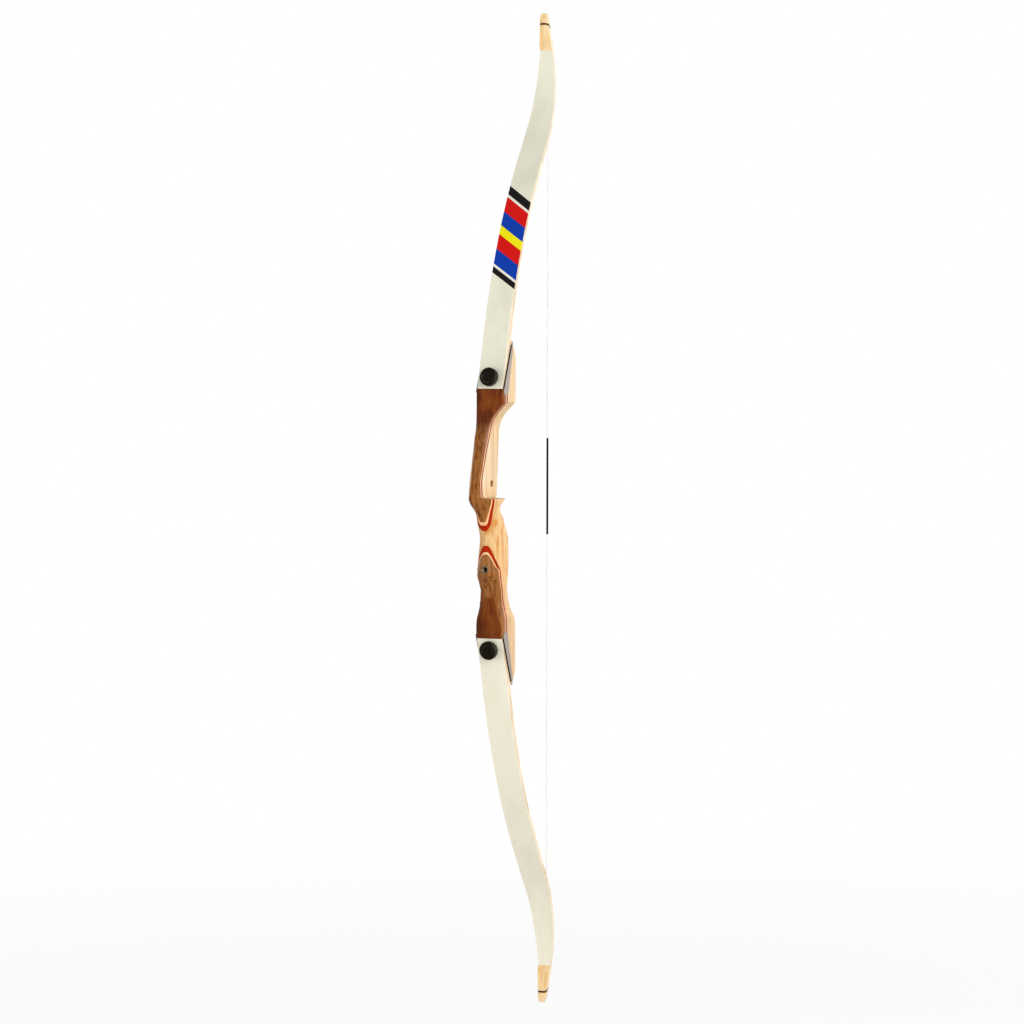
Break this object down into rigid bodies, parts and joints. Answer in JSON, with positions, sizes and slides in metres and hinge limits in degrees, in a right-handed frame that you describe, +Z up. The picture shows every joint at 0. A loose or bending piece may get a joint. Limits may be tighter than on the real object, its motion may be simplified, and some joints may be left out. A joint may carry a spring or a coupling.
{
  "type": "take-down recurve bow",
  "caption": "Strung wooden take-down recurve bow for a right-handed archer, with white limbs, a laminated riser and black limb bolts.",
  "frame": {"origin": "the throat of the grip: the deepest point of the grip's belly side, where the web of the archer's hand rests, on the middle plane of the bow", "axes": "+X towards the target, +Y to the archer's left, +Z up along the bow towards the upper tip"},
  "size_m": [0.2298, 0.046, 1.5008],
  "materials": {
    "light_wood": "satin varnish over light straight-grained wood",
    "dark_wood": "satin varnish over dark streaked wood",
    "red_veneer": "satin varnish over red-dyed veneer",
    "pale_veneer": "satin varnish over pale veneer",
    "side_plate": "glossy black laminate",
    "brass": "turned",
    "steel": "turned",
    "white_glass": "white glass-fibre facing",
    "core_wood": "clear lacquer",
    "tip_wood": "clear lacquer",
    "black_metal": "matt black anodised",
    "string": "waxed string fibre",
    "serving": "tightly wound black serving thread"
  },
  "bodies": {
    "riser": {"riser_belly_block": "light_wood", "upper_back_block": "dark_wood", "lower_back_block": "dark_wood", "upper_red_veneer": "red_veneer", "lower_red_veneer": "red_veneer", "upper_pale_veneer": "pale_veneer", "lower_pale_veneer": "pale_veneer", "upper_left_plate": "side_plate", "upper_right_plate": "side_plate", "lower_left_plate": "side_plate", "lower_right_plate": "side_plate", "upper_bolt_insert": "brass", "lower_bolt_insert": "brass", "upper_locating_pin": "steel", "lower_locating_pin": "steel", "plunger_bushing": "brass", "stabiliser_bushing": "steel"},
    "upper_limb": {"upper_limb_back_glass": "white_glass", "upper_limb_front_core": "core_wood", "upper_limb_wedge": "core_wood", "upper_limb_rear_core": "core_wood", "upper_limb_belly_glass": "white_glass", "upper_tip_overlay": "tip_wood", "upper_loop_serving": "serving"},
    "lower_limb": {"lower_limb_back_glass": "white_glass", "lower_limb_front_core": "core_wood", "lower_limb_wedge": "core_wood", "lower_limb_rear_core": "core_wood", "lower_limb_belly_glass": "white_glass", "lower_tip_overlay": "tip_wood", "lower_loop_serving": "serving"},
    "upper_string_half": {"upper_string": "string", "upper_centre_serving": "serving"},
    "lower_string_half": {"lower_string": "string", "lower_centre_serving": "serving"},
    "upper_bolt_slide": {"upper_bolt_washer": "black_metal"},
    "upper_bolt_turn": {"upper_bolt_knob": "black_metal", "upper_bolt_stud": "steel"},
    "lower_bolt_slide": {"lower_bolt_washer": "black_metal"},
    "lower_bolt_turn": {"lower_bolt_knob": "black_metal", "lower_bolt_stud": "steel"}
  },
  "joints": [
    {"name": "upper_limb_flex", "type": "hinge", "parent": "riser", "child": "upper_limb", "pos_m": [-0.01319, 0, 0.24543], "axis": [0, -1, 0], "range_deg": [0, 20], "stiffness_Nm_per_rad": 230, "deforming": ["upper_limb_back_glass", "upper_limb_front_core", "upper_limb_wedge", "upper_limb_rear_core", "upper_limb_belly_glass"]},
    {"name": "lower_limb_flex", "type": "hinge", "parent": "riser", "child": "lower_limb", "pos_m": [-0.01319, 0, -0.26143], "axis": [0, 1, 0], "range_deg": [0, 20], "stiffness_Nm_per_rad": 230, "deforming": ["lower_limb_back_glass", "lower_limb_front_core", "lower_limb_wedge", "lower_limb_rear_core", "lower_limb_belly_glass"]},
    {"name": "upper_string_swing", "type": "hinge", "parent": "upper_limb", "child": "upper_string_half", "pos_m": [-0.18823, 0, 0.68065], "axis": [0, 1, 0], "range_deg": [0, 52.2], "deforming": ["upper_string", "upper_centre_serving"]},
    {"name": "lower_string_swing", "type": "hinge", "parent": "lower_limb", "child": "lower_string_half", "pos_m": [-0.18823, 0, -0.69665], "axis": [0, -1, 0], "range_deg": [0, 48], "deforming": ["lower_string", "lower_centre_serving"]},
    {"name": "upper_bolt_travel", "type": "slide", "parent": "riser", "child": "upper_bolt_slide", "axis": [0.9763, 0, 0.2164], "range_m": [0, 0.014]},
    {"name": "upper_bolt_spin", "type": "hinge", "parent": "upper_bolt_slide", "child": "upper_bolt_turn", "pos_m": [0.00731, 0, 0.19415], "axis": [0.9763, 0, 0.2164], "range_deg": [0, 4060]},
    {"name": "lower_bolt_travel", "type": "slide", "parent": "riser", "child": "lower_bolt_slide", "axis": [0.9763, 0, -0.2164], "range_m": [0, 0.014]},
    {"name": "lower_bolt_spin", "type": "hinge", "parent": "lower_bolt_slide", "child": "lower_bolt_turn", "pos_m": [0.00731, 0, -0.21015], "axis": [0.9763, 0, -0.2164], "range_deg": [0, 4060]}
  ],
  "couplings": [
    {"joint": "lower_limb_flex", "follows": "upper_limb_flex", "ratio": 1},
    {"joint": "upper_string_swing", "follows": "upper_limb_flex", "ratio": 2.5577},
    {"joint": "lower_string_swing", "follows": "upper_limb_flex", "ratio": 2.3454},
    {"joint": "upper_bolt_spin", "follows": "upper_bolt_travel", "rad_per_m": 5026.5},
    {"joint": "lower_bolt_spin", "follows": "lower_bolt_travel", "rad_per_m": 5026.5}
  ]
}
